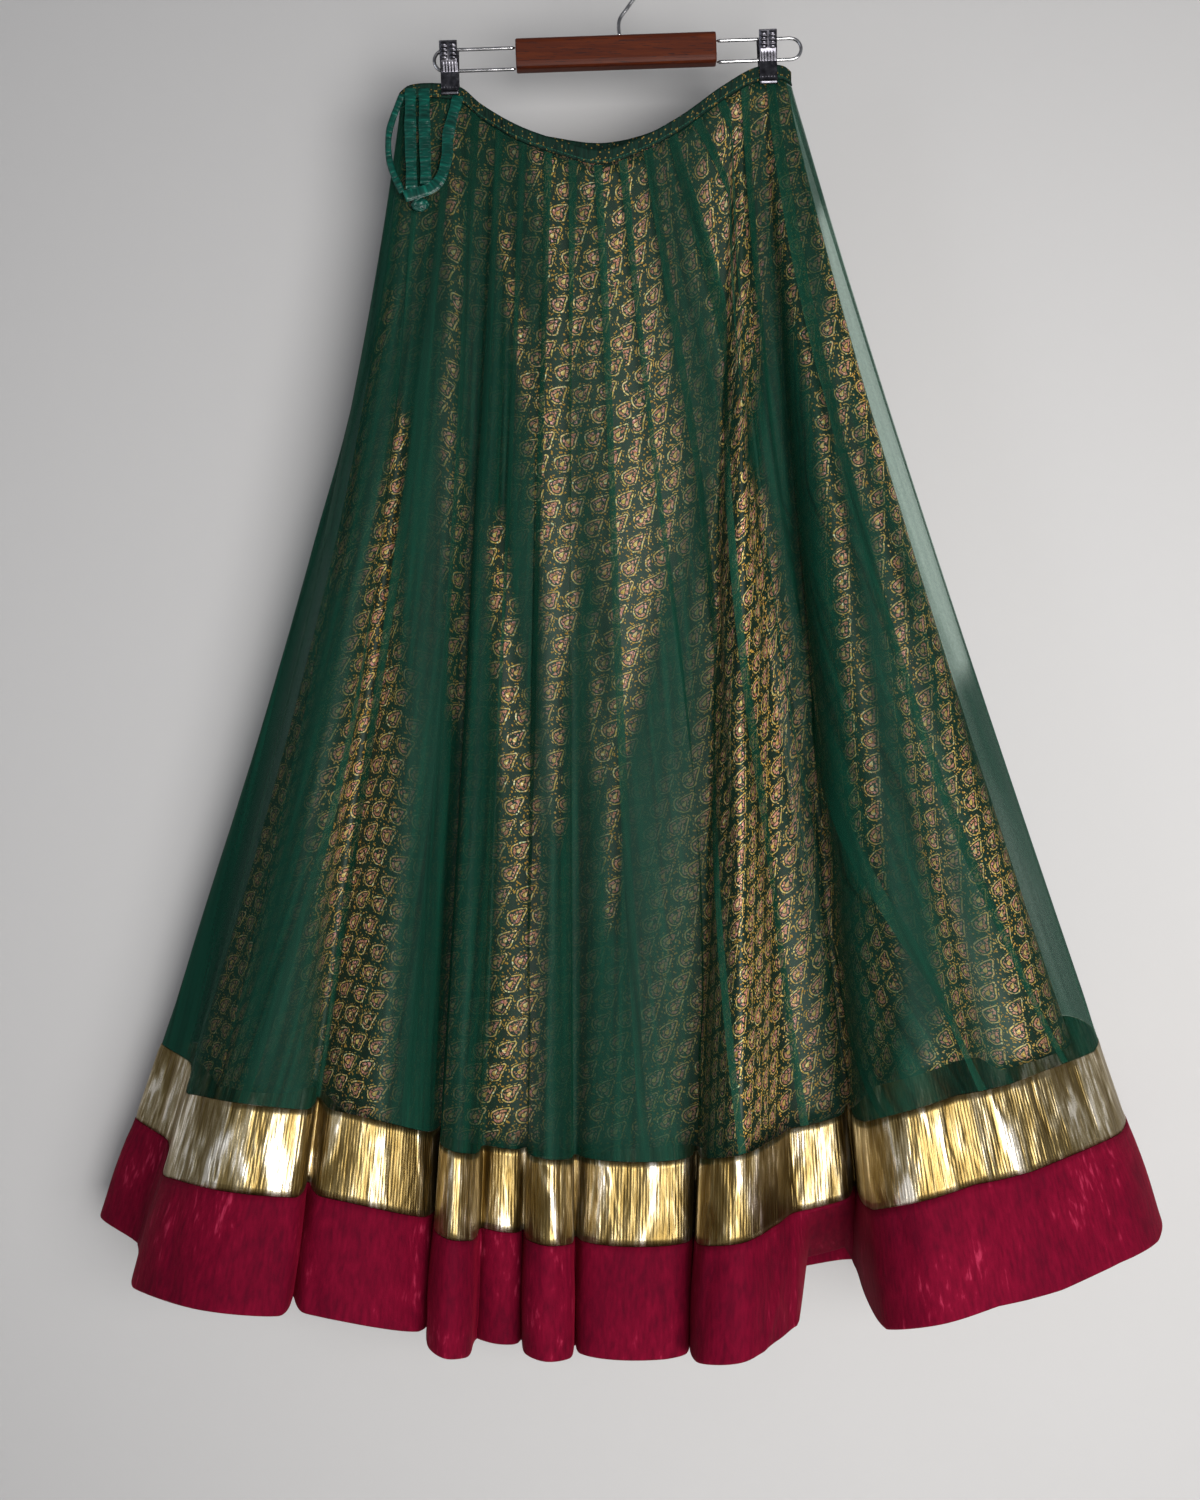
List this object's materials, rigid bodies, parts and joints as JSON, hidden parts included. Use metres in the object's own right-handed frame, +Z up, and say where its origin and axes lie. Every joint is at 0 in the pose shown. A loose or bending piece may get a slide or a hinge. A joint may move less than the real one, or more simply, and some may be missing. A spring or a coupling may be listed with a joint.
{
  "type": "flared lehenga skirt on a clip hanger",
  "caption": "Long flared green net skirt over a foil-printed lining, with gold and crimson velvet borders and a waist drawstring, hung flat from a wooden clip hanger.",
  "frame": {"origin": "inside top of the hanger's hook, where a rail or wall hook carries it", "axes": "+Z up, the skirt's front faces -Y, +X to the right of someone facing the front"},
  "size_m": [0.9156, 0.2573, 1.1822],
  "materials": {
    "green_net": "fine dark green net",
    "foil_print_lining": "dark green with gold and copper foil paisleys",
    "gold_lame": "ribbed metallic gold lame, crinkled",
    "crimson_velvet": "crushed velvet",
    "teal_satin": "satin ribbon",
    "bright_wire": "polished wire",
    "clip_steel": "dark plated sheet",
    "varnished_wood": "red-brown varnish"
  },
  "bodies": {
    "root": {"clip_left_back_jaw": "clip_steel", "clip_left_front_jaw": "clip_steel", "clip_left_slide": "clip_steel", "clip_right_back_jaw": "clip_steel", "clip_right_front_jaw": "clip_steel", "clip_right_slide": "clip_steel", "drawstring_end_left": "teal_satin", "drawstring_end_middle": "teal_satin", "drawstring_end_right": "teal_satin", "drawstring_knot": "teal_satin", "drawstring_loop": "teal_satin", "gold_band_back": "gold_lame", "gold_band_front": "gold_lame", "hanger_hook": "bright_wire", "hanger_wire_left": "bright_wire", "hanger_wire_right": "bright_wire", "hanger_wood_block": "varnished_wood", "lining_back_left": "foil_print_lining", "lining_back_right": "foil_print_lining", "lining_front_left": "foil_print_lining", "lining_front_right": "foil_print_lining", "net_gore_back_01": "green_net", "net_gore_back_02": "green_net", "net_gore_back_03": "green_net", "net_gore_back_04": "green_net", "net_gore_back_05": "green_net", "net_gore_back_06": "green_net", "net_gore_back_07": "green_net", "net_gore_back_08": "green_net", "net_gore_back_09": "green_net", "net_gore_back_10": "green_net", "net_gore_back_11": "green_net", "net_gore_back_12": "green_net", "net_gore_back_13": "green_net", "net_gore_back_14": "green_net", "net_gore_back_15": "green_net", "net_gore_back_16": "green_net", "net_gore_front_01": "green_net", "net_gore_front_02": "green_net", "net_gore_front_03": "green_net", "net_gore_front_04": "green_net", "net_gore_front_05": "green_net", "net_gore_front_06": "green_net", "net_gore_front_07": "green_net", "net_gore_front_08": "green_net", "net_gore_front_09": "green_net", "net_gore_front_10": "green_net", "net_gore_front_11": "green_net", "net_gore_front_12": "green_net", "net_gore_front_13": "green_net", "net_gore_front_14": "green_net", "net_gore_front_15": "green_net", "net_gore_front_16": "green_net", "velvet_border_back": "crimson_velvet", "velvet_border_front": "crimson_velvet", "waistband_back": "green_net", "waistband_front": "green_net"}
  },
  "joints": []
}
